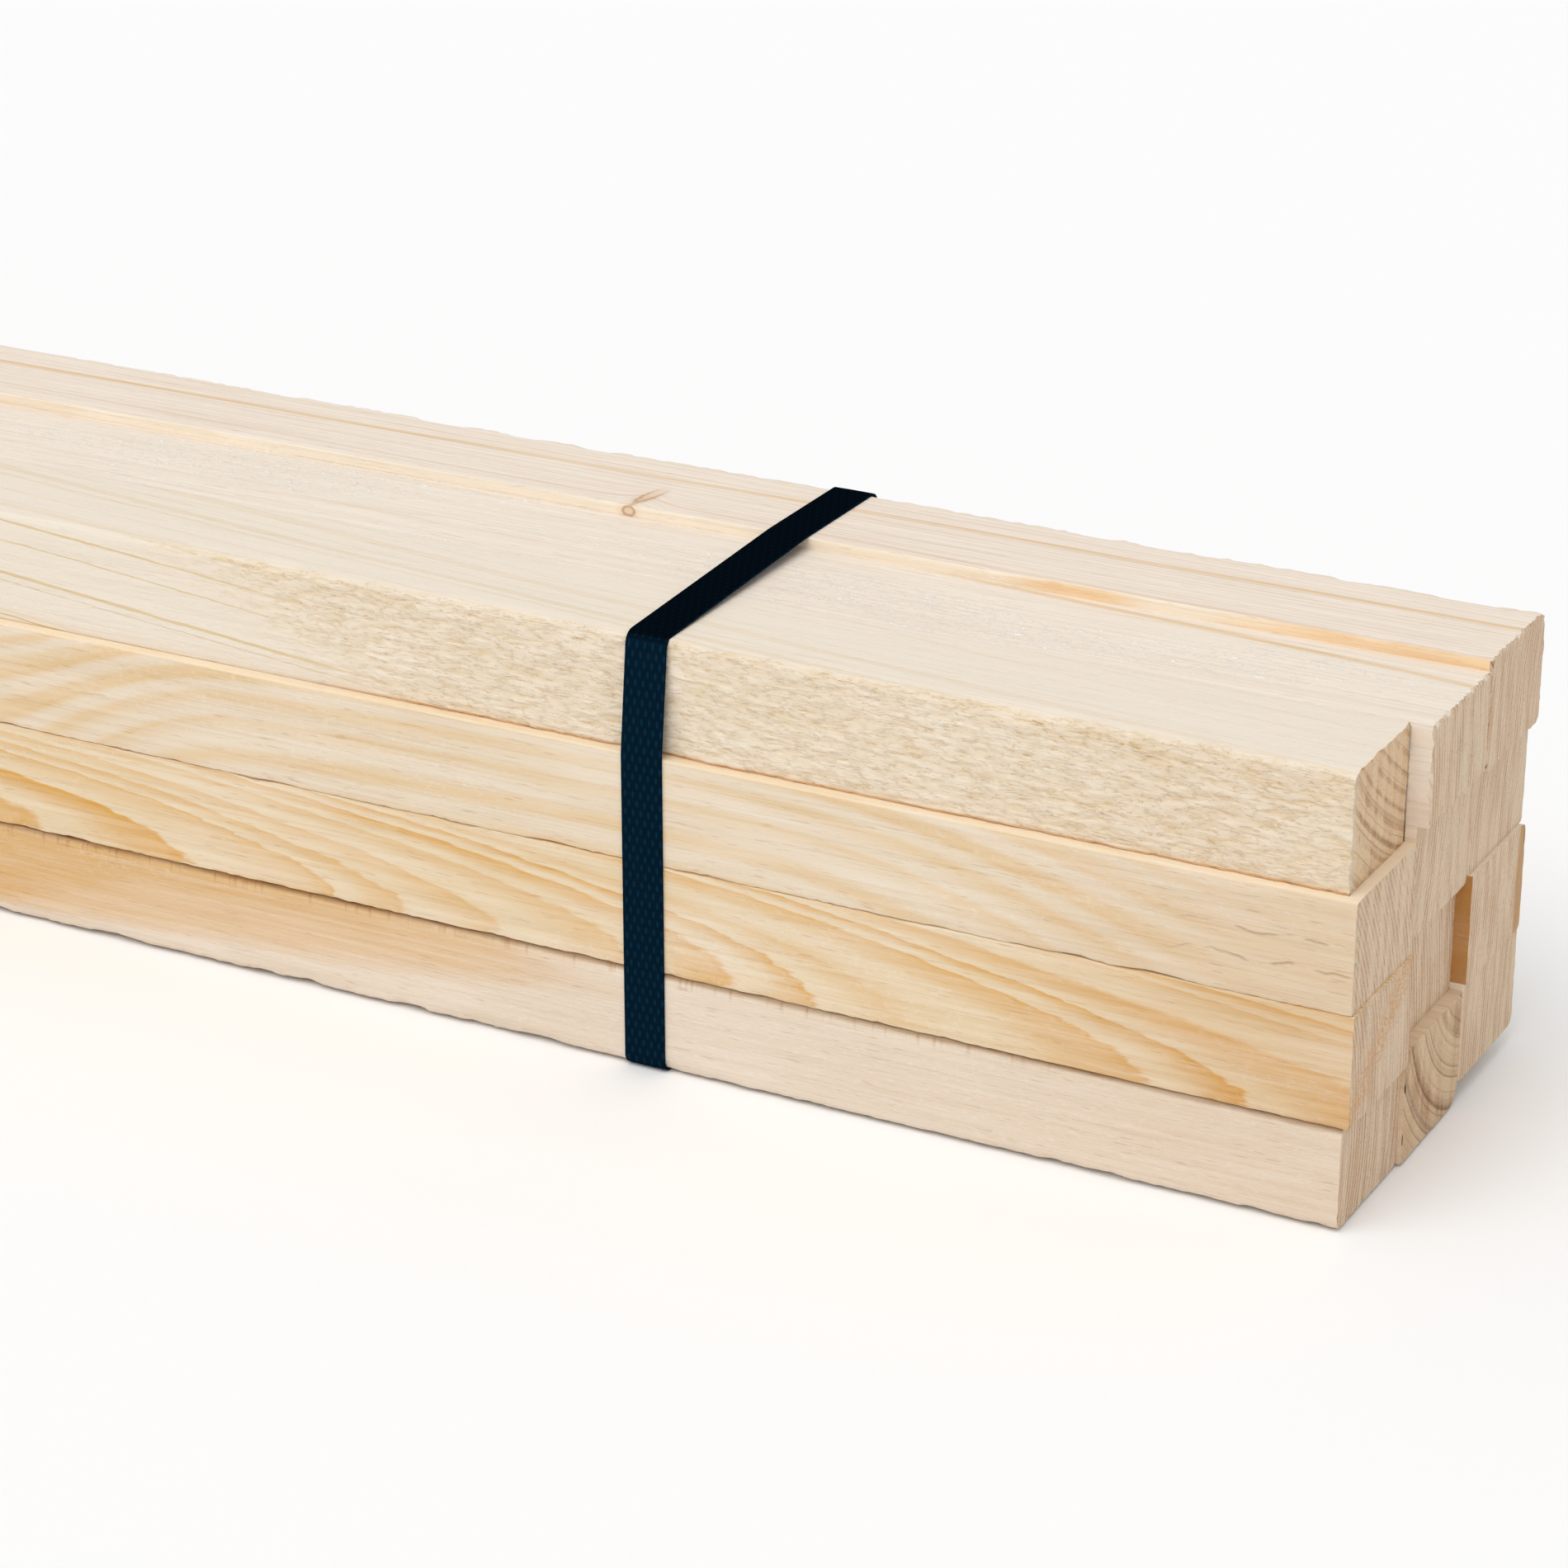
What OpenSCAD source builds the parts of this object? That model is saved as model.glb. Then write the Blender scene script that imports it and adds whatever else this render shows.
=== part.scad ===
// Bundle of twelve sawn pine studs, three wide and four high, held by two
// welded plastic straps. Sizes in millimetres. +X runs along the studs to
// their near ends, +Y from the front to the back and +Z up. The origin is on
// the floor under the middle of the bundle.

/* [Studs] */
// Length of every stud
stud_length = 2400; // [1200:100:4800]
// Width of a stud, from its front face to its back face
stud_width = 51; // [40:1:80]
// Radius of the sawn long edges
edge_radius = 1; // [0.5:0.5:3]
// Radius of the bundle's four outer edges, which the straps are pulled over
corner_radius = 3.5; // [2:0.5:8]
// Radius of the wane along the bottom middle stud's lower back edge
wane_radius = 8; // [4:0.5:14]
// Width that the rough top front stud has lost on its front face
rough_loss = 4; // [0:0.5:10]
// Air between studs that lie against each other
stud_gap = 0.2; // [0.1:0.1:0.6]
// How far the straps hold the back stack above the level of the other two
back_lift = 7; // [0:0.5:12]

/* [Heights in the front stack] */
// Height of the bottom front stud
bottom_front_height = 35.5; // [28:0.5:60]
// Height of the lower front stud
lower_front_height = 38.5; // [28:0.5:60]
// Height of the upper front stud
upper_front_height = 38; // [28:0.5:60]
// Height of the top front stud
top_front_height = 40; // [28:0.5:60]

/* [Heights in the middle stack] */
// Height of the bottom middle stud
bottom_middle_height = 40; // [28:0.5:60]
// Height of the lower middle stud
lower_middle_height = 38.5; // [28:0.5:60]
// Height of the upper middle stud
upper_middle_height = 39; // [28:0.5:60]
// Height of the top middle stud
top_middle_height = 34.5; // [28:0.5:60]

/* [Heights in the back stack] */
// Height of the bottom back stud
bottom_back_height = 35.5; // [28:0.5:60]
// Height of the lower back stud
lower_back_height = 38.5; // [28:0.5:60]
// Height of the upper back stud
upper_back_height = 36; // [28:0.5:60]
// Height of the top back stud
top_back_height = 39; // [28:0.5:60]

/* [How far each stud is pushed along] */
// Bottom front stud
bottom_front_push = -2; // [-20:0.5:20]
// Lower front stud
lower_front_push = 0; // [-20:0.5:20]
// Upper front stud
upper_front_push = -1; // [-20:0.5:20]
// Top front stud
top_front_push = -5; // [-20:0.5:20]
// Bottom middle stud
bottom_middle_push = -0.5; // [-20:0.5:20]
// Lower middle stud
lower_middle_push = -5; // [-20:0.5:20]
// Upper middle stud
upper_middle_push = -1.5; // [-20:0.5:20]
// Top middle stud
top_middle_push = 2.5; // [-20:0.5:20]
// Bottom back stud
bottom_back_push = 0; // [-20:0.5:20]
// Lower back stud
lower_back_push = 0.5; // [-20:0.5:20]
// Upper back stud
upper_back_push = -1; // [-20:0.5:20]
// Top back stud
top_back_push = 2.5; // [-20:0.5:20]

/* [Straps] */
// Width of a strap
strap_width = 15; // [9:1:19]
// Thickness of a strap
strap_thickness = 0.8; // [0.5:0.1:1.2]
// Slack between a strap and the edges that it is pulled over
strap_slack = 0.1; // [0.1:0.1:0.5]
// From the line of the stud ends to the middle of a strap
strap_inset = 249; // [100:1:500]
// Length over which the two ends of a strap are welded together
lap_length = 32; // [20:1:60]
// Height of the middle of that weld above the studs' underside
lap_height = 76; // [55:1:85]

/* [Hidden] */
$fn = 64;
pine = [0.91, 0.79, 0.62];
strap_navy = [0.06, 0.09, 0.13];
close_enough = 0.000001;

front_heights = [bottom_front_height, lower_front_height, upper_front_height, top_front_height];
middle_heights = [bottom_middle_height, lower_middle_height, upper_middle_height, top_middle_height];
back_heights = [bottom_back_height, lower_back_height, upper_back_height, top_back_height];
pushes = [
    bottom_front_push, lower_front_push, upper_front_push, top_front_push,
    bottom_middle_push, lower_middle_push, upper_middle_push, top_middle_push,
    bottom_back_push, lower_back_push, upper_back_push, top_back_push
];

stack_pitch = stud_width + stud_gap;
bundle_depth = 3 * stud_width + 2 * stud_gap;
strap_reach = strap_slack + strap_thickness;

// The overall box is centred over the origin, and the straps touch the floor.
bundle_x = -(max(pushes) + min(pushes)) / 2;
bundle_y = -(bundle_depth + strap_thickness) / 2;
bundle_z = strap_reach;

function bed_of(heights, row) = row == 0 ? 0 : bed_of(heights, row - 1) + heights[row - 1] + stud_gap;

// Front face, back face, underside and top of each stud, seen from its end
function box_of(heights, row, stack, lift, loss) = [
    stack * stack_pitch + loss,
    stack * stack_pitch + stud_width,
    lift + bed_of(heights, row),
    lift + bed_of(heights, row) + heights[row]
];
function stack_boxes(heights, stack, lift, top_loss) = [
    for (row = [0 : 3]) box_of(heights, row, stack, lift, row == 3 ? top_loss : 0)
];
front_boxes = stack_boxes(front_heights, 0, 0, rough_loss);
middle_boxes = stack_boxes(middle_heights, 1, 0, 0);
back_boxes = stack_boxes(back_heights, 2, back_lift, 0);

// Radii of the lower front, lower back, upper back and upper front edges
sawn = [edge_radius, edge_radius, edge_radius, edge_radius];
front_low_round = [corner_radius, edge_radius, edge_radius, edge_radius];
back_low_round = [edge_radius, corner_radius, edge_radius, edge_radius];
back_high_round = [edge_radius, edge_radius, corner_radius, edge_radius];
front_high_round = [edge_radius, edge_radius, edge_radius, corner_radius];
back_low_wane = [edge_radius, wane_radius, edge_radius, edge_radius];
front_radii = [front_low_round, sawn, sawn, front_high_round];
middle_radii = [back_low_wane, sawn, sawn, sawn];
back_radii = [back_low_round, sawn, sawn, back_high_round];

// An edge is its sharp corner, the centre of its rounding and the radius.
function edge_at(y, z, out_y, out_z, radius) = [[y, z], [y - radius * out_y, z - radius * out_z], radius];
function edges_of(box, radii) = [
    edge_at(box[0], box[2], -1, -1, radii[0]),
    edge_at(box[1], box[2], 1, -1, radii[1]),
    edge_at(box[1], box[3], 1, 1, radii[2]),
    edge_at(box[0], box[3], -1, 1, radii[3])
];
function stack_edges(boxes, radii) = [
    for (row = [0 : 3])
        for (edge = edges_of(boxes[row], radii[row])) edge
];
all_edges = concat(
    stack_edges(front_boxes, front_radii),
    stack_edges(middle_boxes, middle_radii),
    stack_edges(back_boxes, back_radii)
);

// A tight strap bends only at the outermost edges. Walking round the bundle,
// the next bend is the edge that leaves all the others on the left.
function turn(from, via, to) =
    (via[0] - from[0]) * (to[1] - from[1]) - (via[1] - from[1]) * (to[0] - from[0]);
function is_outer(from, held, other) =
    let (side = turn(from, held, other))
    side < -close_enough
    || (abs(side) <= close_enough && norm(other - from) > norm(held - from));
function next_bend(from, held, i) =
    i == len(all_edges) ? held
    : next_bend(from, is_outer(from[0], held[0], all_edges[i][0]) ? all_edges[i] : held, i + 1);
function bends_from(start, from, found) =
    let (following = next_bend(from, from, 0))
    norm(following[0] - start[0]) < close_enough || len(found) == len(all_edges) ? found
    : bends_from(start, following, concat(found, [following]));
bends = bends_from(all_edges[0], all_edges[0], [all_edges[0]]);

// Outward direction of the straight run that leaves a bend, taken as square
// to the front, the back, the top or the underside
function run_side(i) =
    let (step = bends[(i + 1) % len(bends)][0] - bends[i % len(bends)][0])
    abs(step[0]) > abs(step[1]) ? [0, -sign(step[0])] : [sign(step[1]), 0];
function side_before(i) = run_side(i + len(bends) - 1);
function is_corner(i) = side_before(i) != run_side(i);

// What rounding an edge takes off
module edge_waste(edge) {
    difference() {
        translate(edge[0])
            square(2 * edge[2], center = true);
        translate(edge[1])
            circle(r = edge[2]);
    }
}

module stud_section(box, radii) {
    difference() {
        translate([box[0], box[2]])
            square([box[1] - box[0], box[3] - box[2]]);
        for (edge = edges_of(box, radii))
            edge_waste(edge);
    }
}

module stud(box, radii, push) {
    color(pine)
        translate([bundle_x + push - stud_length / 2, bundle_y, bundle_z])
            rotate([90, 0, 90])
                linear_extrude(height = stud_length)
                    stud_section(box, radii);
}

// Where a loop pulled round the bends at the given distance turns: twice at
// a corner of the bundle, and once where it crosses a step
function loop_points(i, distance) =
    is_corner(i) ? [
        for (side = [side_before(i), run_side(i)]) bends[i][1] + (bends[i][2] + distance) * side
    ]
    : [bends[i][0] + distance * run_side(i)];

module loop_area(distance) {
    polygon([
        for (i = [0 : len(bends) - 1])
            for (point = loop_points(i, distance)) point
    ]);
    for (i = [0 : len(bends) - 1])
        if (is_corner(i))
            translate(bends[i][1])
                circle(r = bends[i][2] + distance);
}

// The loop closes on the back, where its outer end is welded over the inner end.
module strap_profile() {
    difference() {
        loop_area(strap_reach);
        loop_area(strap_slack);
    }
    translate([bundle_depth + strap_slack, lap_height - lap_length / 2])
        square([2 * strap_thickness, lap_length]);
}

module strap(middle_x) {
    color(strap_navy)
        translate([bundle_x + middle_x - strap_width / 2, bundle_y, bundle_z])
            rotate([90, 0, 90])
                linear_extrude(height = strap_width)
                    strap_profile();
}

module bottom_front_stud() {
    stud(front_boxes[0], front_radii[0], bottom_front_push);
}

module lower_front_stud() {
    stud(front_boxes[1], front_radii[1], lower_front_push);
}

module upper_front_stud() {
    stud(front_boxes[2], front_radii[2], upper_front_push);
}

module top_front_stud() {
    stud(front_boxes[3], front_radii[3], top_front_push);
}

module bottom_middle_stud() {
    stud(middle_boxes[0], middle_radii[0], bottom_middle_push);
}

module lower_middle_stud() {
    stud(middle_boxes[1], middle_radii[1], lower_middle_push);
}

module upper_middle_stud() {
    stud(middle_boxes[2], middle_radii[2], upper_middle_push);
}

module top_middle_stud() {
    stud(middle_boxes[3], middle_radii[3], top_middle_push);
}

module bottom_back_stud() {
    stud(back_boxes[0], back_radii[0], bottom_back_push);
}

module lower_back_stud() {
    stud(back_boxes[1], back_radii[1], lower_back_push);
}

module upper_back_stud() {
    stud(back_boxes[2], back_radii[2], upper_back_push);
}

module top_back_stud() {
    stud(back_boxes[3], back_radii[3], top_back_push);
}

module near_strap() {
    strap(stud_length / 2 - strap_inset);
}

module far_strap() {
    strap(strap_inset - stud_length / 2);
}

bottom_front_stud();
lower_front_stud();
upper_front_stud();
top_front_stud();
bottom_middle_stud();
lower_middle_stud();
upper_middle_stud();
top_middle_stud();
bottom_back_stud();
lower_back_stud();
upper_back_stud();
top_back_stud();
near_strap();
far_strap();
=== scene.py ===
import math
import random
import bmesh
import bpy
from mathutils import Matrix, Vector, noise


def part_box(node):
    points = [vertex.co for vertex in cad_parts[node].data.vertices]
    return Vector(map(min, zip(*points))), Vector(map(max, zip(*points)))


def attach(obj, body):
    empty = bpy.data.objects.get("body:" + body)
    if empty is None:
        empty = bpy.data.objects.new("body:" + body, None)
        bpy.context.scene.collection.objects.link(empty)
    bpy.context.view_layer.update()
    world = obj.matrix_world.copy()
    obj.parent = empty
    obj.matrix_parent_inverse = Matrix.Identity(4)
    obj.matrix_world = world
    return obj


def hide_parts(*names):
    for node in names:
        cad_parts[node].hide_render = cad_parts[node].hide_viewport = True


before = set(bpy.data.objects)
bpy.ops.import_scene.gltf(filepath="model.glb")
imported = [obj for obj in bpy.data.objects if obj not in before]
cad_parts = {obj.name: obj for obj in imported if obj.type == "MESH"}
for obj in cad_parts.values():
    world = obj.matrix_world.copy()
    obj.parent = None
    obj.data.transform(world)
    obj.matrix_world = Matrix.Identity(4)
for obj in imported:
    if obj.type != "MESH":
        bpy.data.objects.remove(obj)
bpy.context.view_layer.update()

mm = 0.001
print("frame loaded:", len(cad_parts), "nodes")


# Small helpers for shader nodes

def hexColour(text):
    parts = [int(text[i:i + 2], 16) / 255 for i in (0, 2, 4)]
    linear = [((c + 0.055) / 1.055) ** 2.4 if c > 0.04045 else c / 12.92 for c in parts]
    return (*linear, 1.0)


def putNode(tree, kind, **values):
    node = tree.nodes.new(kind)
    for name, value in values.items():
        setattr(node, name, value)
    return node


def feed(tree, socket, value):
    if isinstance(value, bpy.types.NodeSocket):
        tree.links.new(value, socket)
    else:
        socket.default_value = value


def calc(tree, operation, *terms):
    node = putNode(tree, "ShaderNodeMath", operation=operation)
    for socket, term in zip(node.inputs, terms):
        feed(tree, socket, term)
    return node.outputs[0]


def times(tree, first, second):
    return calc(tree, "MULTIPLY", first, second)


def plus(tree, first, second):
    return calc(tree, "ADD", first, second)


def minus(tree, first, second):
    return calc(tree, "SUBTRACT", first, second)


def timesPlus(tree, first, second, third):
    return calc(tree, "MULTIPLY_ADD", first, second, third)


def vectorCalc(tree, operation, *terms):
    node = putNode(tree, "ShaderNodeVectorMath", operation=operation)
    for socket, term in zip(node.inputs, terms):
        feed(tree, socket, term)
    return node.outputs["Value" if operation == "LENGTH" else "Vector"]


def splitVector(tree, vector):
    node = putNode(tree, "ShaderNodeSeparateXYZ")
    feed(tree, node.inputs[0], vector)
    return node.outputs


def smoothStep(tree, value, low, high):
    node = putNode(tree, "ShaderNodeMapRange", interpolation_type="SMOOTHSTEP")
    feed(tree, node.inputs["Value"], value)
    feed(tree, node.inputs["From Min"], low)
    feed(tree, node.inputs["From Max"], high)
    return node.outputs[0]


def mixColour(tree, amount, first, second, mode="MIX"):
    node = putNode(tree, "ShaderNodeMix", data_type="RGBA", blend_type=mode)
    for socket, value in zip((0, 6, 7), (amount, first, second)):  # factor and the two colour sockets
        feed(tree, node.inputs[socket], value)
    return node.outputs[2]


def noiseAt(tree, place, scale, detail=2.0, rough=0.5):
    stretched = vectorCalc(tree, "MULTIPLY", place, scale)
    node = putNode(tree, "ShaderNodeTexNoise")
    feed(tree, node.inputs["Vector"], stretched)
    node.inputs["Scale"].default_value = 1.0
    node.inputs["Detail"].default_value = detail
    node.inputs["Roughness"].default_value = rough
    return node.outputs[0]


def newGroup(name, inputs, outputs):
    group = bpy.data.node_groups.new(name, "ShaderNodeTree")
    kinds = {"value": "NodeSocketFloat", "vector": "NodeSocketVector", "colour": "NodeSocketColor"}
    for label, kind in inputs:
        group.interface.new_socket(name=label, in_out="INPUT", socket_type=kinds[kind])
    for label, kind in outputs:
        group.interface.new_socket(name=label, in_out="OUTPUT", socket_type=kinds[kind])
    source = group.nodes.new("NodeGroupInput")
    sink = group.nodes.new("NodeGroupOutput")
    return group, source.outputs, sink.inputs


def placeGroup(tree, group, **values):
    node = putNode(tree, "ShaderNodeGroup", node_tree=group)
    for label, value in values.items():
        feed(tree, node.inputs[label], value)
    return node.outputs


# Pine: growth rings round a wandering pith, seen on every face of a stud

pineTints = ("early", "late", "heart", "frontLightShadeTint", "frontLightShadeWarm", "lineAndLightTint", "endEarly", "endLate")
pineNumbers = (
    "seed", "wave", "waveLength", "waveStart", "rise",
    "leftJump", "leftAt", "leftWidth", "rightJump", "rightAt", "rightWidth",
    "spacing", "warp", "feather", "uneven", "lateStart", "rim", "crisp", "toneFloor",
    "contrast", "fadeStart", "fadeStop", "topFade", "heartRadius", "heartBlur", "heartAmount",
    "frontLightShadeAmount", "streaks", "frost", "tan", "nap", "crackZ", "tickZ", "seamShadeZ",
    "paintedLightZ", "paintedLightStart", "lineY", "lineSlope",
    "endRings", "endSpacing", "dust", "dustY", "dustZ", "waneY",
)
pineInputs = [("place", "vector"), ("facing", "vector")]
pineInputs += [(name, "colour") for name in pineTints]
pineInputs += [(name, "value") for name in pineNumbers]
pineInputs += [(name, "value") for name in (
    "pithY", "pithZ", "knotPush", "knotCore", "knotRim", "torn", "depth")]
pineGroup, pineIn, pineOut = newGroup(
    "pineGrain", pineInputs, [("colour", "colour"), ("roughness", "value"), ("height", "value")])

pineNoise = {  # waves per millimetre along x, y and z, then detail and roughness
    "bends": ((0.006, 0.02, 0.02), 1.5, 0.5),
    "hairs": ((0.035, 0.7, 0.7), 4.0, 0.65),
    "ripple": ((0.11, 0.16, 0.16), 2.0, 0.5),
    "fibre": ((0.018, 1.1, 1.1), 4.0, 0.65),
    "streak": ((0.014, 0.42, 0.42), 4.0, 0.6),
    "dash": ((0.10, 1.5, 1.5), 1.0, 0.5),
    "mottle": ((0.011, 0.06, 0.06), 2.0, 0.5),
    "crackSway": ((0.045, 0.001, 0.001), 3.0, 0.5),
    "frostGrain": ((0.30, 0.5, 0.5), 4.0, 0.7),
    "frostPatch": ((0.006, 0.03, 0.03), 2.0, 0.5),
    "tick": ((0.62, 0.01, 0.03), 1.0, 0.5),
    "fuzz": ((0.9, 1.5, 0.8), 5.0, 0.75),
    "specks": ((1.1, 1.9, 1.3), 3.0, 0.7),
    "blade": ((0.2, 1.7, 0.06), 3.0, 0.6),
    "wide": ((0.1, 0.22, 0.03), 2.0, 0.5),
    "dustGrain": ((1.0, 1.0, 1.0), 3.0, 0.7),
    "shreds": ((0.16, 0.8, 1.5), 5.0, 0.72),
    "tearLine": ((0.10, 0.3, 0.62), 4.0, 0.6),
    "nap": ((0.35, 1.3, 1.3), 4.0, 0.7),
}
pineBands = {  # where a mask starts and where it is full; the Run bands are places along the bundle
    "ends": (0.5, 0.8), "fronts": (-0.5, -0.8), "tops": (0.5, 0.8), "rim": (0.78, 0.94),
    "fibre": (0.48, 0.72), "dash": (0.66, 0.76), "mottle": (0.42, 0.72),
    "darkStreak": (0.48, 0.74), "lightStreak": (0.52, 0.30),
    "warmRun": (1095.0, 1150.0), "warmSpot": (32.0, 8.0), "nearEndTanRun": (1040.0, 1190.0),
    "crack": (0.6, 0.1), "crackRun": (1110.0, 1180.0), "crackBreaks": (-0.12, 0.06),
    "frostGrain": (0.53, 0.66), "frostPatch": (0.40, 0.58),
    "tick": (0.58, 0.70), "tickRun": (1150.0, 1050.0), "line": (0.9, 0.3), "slant": (2.2, 0.5),
    "ringLine": (0.1, 1.0), "ringPatch": (0.30, 0.62), "wide": (0.42, 0.68), "blade": (0.46, 0.30),
    "fuzz": (0.52, 0.70), "specks": (0.56, 0.68), "dustBand": (18.0, 8.0), "dustGrain": (0.42, 0.58),
    "tearLine": (0.030, 0.004), "tearBreaks": (0.62, 0.42), "shreds": (0.45, 0.28),
}
pineWash = {  # colour, strength and how it is mixed in
    "mottle": ("f5e9da", 0.3, "MIX"),
    "darkStreak": ("e3c7a2", 0.14, "MULTIPLY"),
    "lightStreak": ("fbf3e8", 0.14, "MIX"),
    "fibre": ("dcbf9a", 0.14, "MULTIPLY"),
    "dash": ("c79a68", 0.3, "MULTIPLY"),
    "crack": ("b08a5c", 0.45, "MIX"),
    "frost": ("fdf9f3", 1.0, "MIX"),
    "tickBand": ("e6cb9f", 0.15, "MIX"),
    "tick": ("d0a26c", 0.4, "MULTIPLY"),
    # painted shade in the seam between studs
    "seamShade": ("a98d68", 1.0, "MULTIPLY"),
    "ringLine": ("cdae90", 0.6, "MULTIPLY"),
    "wide": ("d9bd9c", 0.30, "MULTIPLY"),
    "blade": ("ecdfd0", 1.0, "MIX"),
    "fuzz": ("bd9874", 0.60, "MULTIPLY"),
    "specks": ("f2e6d8", 0.6, "MIX"),
    "dust": ("dcab78", 1.0, "MIX"),
    "wane": ("c79458", 0.75, "MIX"),
    "shreds": ("e6ca9e", 0.3, "MIX"),
    "tearLine": ("d2aa74", 0.55, "MIX"),
    "nearEndTan": ("e2c49c", 1.0, "MULTIPLY"),
    "knotCore": ("dcb27c", 0.45, "MIX"),
    "knotRim": ("a36d3c", 1.0, "MIX"),
}
pineStreaks = {  # share of the streaks in a mask, and what it keeps without them
    "heart": (0.6, 0.7), "warmth": (0.5, 0.65), "nearEndTan": (0.8, 0.6), "seamShade": (0.9, 0.35),
    "line": (1.0, 0.2)}
pineForm = {  # the other sizes, in millimetres, and shares of the grain
    "seedStride": (371.0, 53.0, 97.0), "rippleShare": 0.7, "yearStride": 3.7, "yearWidth": 0.16,
    "toneStride": 13.0, "lateFull": 0.88, "fadedShare": 0.2, "warmSpot": 1058.0,
    "crackSway": 9.0, "crackGap": 10.0, "crackSpread": 0.5, "tickHeight": 5.0,
    "seamShadeHeight": 2.4, "seamShadeFull": 0.3, "paintedLightLeadIn": 90.0, "slantPivot": 1100.0, "slantBend": 6.0,
    "slantStrength": 0.62, "bladeMarks": 0.34, "bladeLoss": -0.32,
    "dustLean": -0.75, "dustRag": 14.0, "waneRag": 6.0, "waneStart": 1.5, "waneFull": 4.5,
    # the hollow colour is painted shade in the hollows of the torn grain
    "ridge": "faeedc", "hollow": "ead1aa", "tornCover": 0.9,
    "roughness": 0.62, "fibreRoughness": 0.14, "lateRise": 0.05, "fibreSink": -0.08, "frostRise": 0.2,
    "tearSink": -0.05, "shredRise": 0.3, "crackSink": -0.3, "fuzzRise": 0.45,
}


def buildPineGroup(tree, given, out, form):
    def grain(name):
        return noiseAt(tree, shifted, *pineNoise[name])

    def band(name, value):
        return smoothStep(tree, value, *pineBands[name])

    def wash(base, name, mask):
        tone, strength, mode = pineWash[name]
        return mixColour(tree, times(tree, mask, strength), base, hexColour(tone), mode)

    def swing(value):
        return minus(tree, value, 0.5)

    def absolute(value):
        return calc(tree, "ABSOLUTE", value)

    def streaky(name):
        return timesPlus(tree, streak, *pineStreaks[name])

    shift = putNode(tree, "ShaderNodeCombineXYZ")
    for socket, stride in zip(shift.inputs, form["seedStride"]):
        feed(tree, socket, times(tree, given["seed"], stride))
    shifted = vectorCalc(tree, "ADD", given["place"], shift.outputs[0])
    x, y, z = splitVector(tree, given["place"])
    facing = splitVector(tree, given["facing"])
    endMask = band("ends", absolute(facing[0]))
    frontMask = band("fronts", facing[1])
    topMask = band("tops", facing[2])

    # distance from the pith, which wanders along the stud
    along = minus(tree, x, given["waveStart"])
    turn = calc(tree, "DIVIDE", times(tree, along, 2 * math.pi), given["waveLength"])
    pithY = timesPlus(tree, calc(tree, "SINE", turn), given["wave"], given["pithY"])
    leftOf = smoothStep(tree, x, plus(tree, given["leftAt"], given["leftWidth"]),
                        minus(tree, given["leftAt"], given["leftWidth"]))
    rightOf = smoothStep(tree, x, minus(tree, given["rightAt"], given["rightWidth"]),
                         plus(tree, given["rightAt"], given["rightWidth"]))
    pithY = minus(tree, pithY, times(tree, leftOf, given["leftJump"]))
    pithY = minus(tree, pithY, times(tree, rightOf, given["rightJump"]))
    pithZ = timesPlus(tree, along, given["rise"], given["pithZ"])
    sideways = minus(tree, y, pithY)
    upwards = minus(tree, z, pithZ)
    square = timesPlus(tree, sideways, sideways, times(tree, upwards, upwards))
    distance = calc(tree, "SQRT", square)

    # slow bends of the rings, and their hairy edges
    bends, hairs, ripple = [swing(grain(name)) for name in ("bends", "hairs", "ripple")]
    radius = timesPlus(tree, bends, given["warp"], distance)
    radius = timesPlus(tree, hairs, given["feather"], radius)
    radius = timesPlus(tree, ripple, times(tree, given["feather"], form["rippleShare"]), radius)
    radius = plus(tree, radius, given["knotPush"])

    # good and bad years: rings of uneven width and tone
    years = putNode(tree, "ShaderNodeTexNoise", noise_dimensions="1D")
    feed(tree, years.inputs["W"], timesPlus(tree, given["seed"], form["yearStride"],
                                            times(tree, radius, form["yearWidth"])))
    years.inputs["Scale"].default_value = 1.0
    uneven = times(tree, swing(years.outputs[0]), times(tree, given["spacing"], given["uneven"]))
    count = calc(tree, "DIVIDE", plus(tree, radius, uneven), given["spacing"])
    ringPart = calc(tree, "FRACT", count)
    tone = putNode(tree, "ShaderNodeTexWhiteNoise", noise_dimensions="1D")
    feed(tree, tone.inputs["W"], timesPlus(tree, given["seed"], form["toneStride"],
                                           calc(tree, "FLOOR", count)))
    rising = smoothStep(tree, ringPart, given["lateStart"], form["lateFull"])
    falling = smoothStep(tree, ringPart, 1.0, given["crisp"])
    ringTone = timesPlus(tree, tone.outputs[0], minus(tree, 1.0, given["toneFloor"]), given["toneFloor"])
    late = plus(tree, times(tree, band("rim", ringPart), given["rim"]),
                times(tree, rising, minus(tree, 1.0, given["rim"])))
    late = times(tree, times(tree, late, falling), ringTone)

    # early and late wood, and the darker heart
    fibre = band("fibre", grain("fibre"))
    streak = grain("streak")
    kept = timesPlus(tree, smoothStep(tree, x, given["fadeStop"], given["fadeStart"]),
                     1.0 - form["fadedShare"], form["fadedShare"])
    lateMask = times(tree, late, times(tree, given["contrast"], kept))
    faded = minus(tree, 1.0, times(tree, topMask, given["topFade"]))
    side = mixColour(tree, times(tree, lateMask, faded), given["early"], given["late"])
    inner = smoothStep(tree, radius, plus(tree, given["heartRadius"], given["heartBlur"]),
                       minus(tree, given["heartRadius"], given["heartBlur"]))
    inner = times(tree, inner, streaky("heart"))
    side = mixColour(tree, times(tree, inner, given["heartAmount"]), side, given["heart"])

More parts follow.
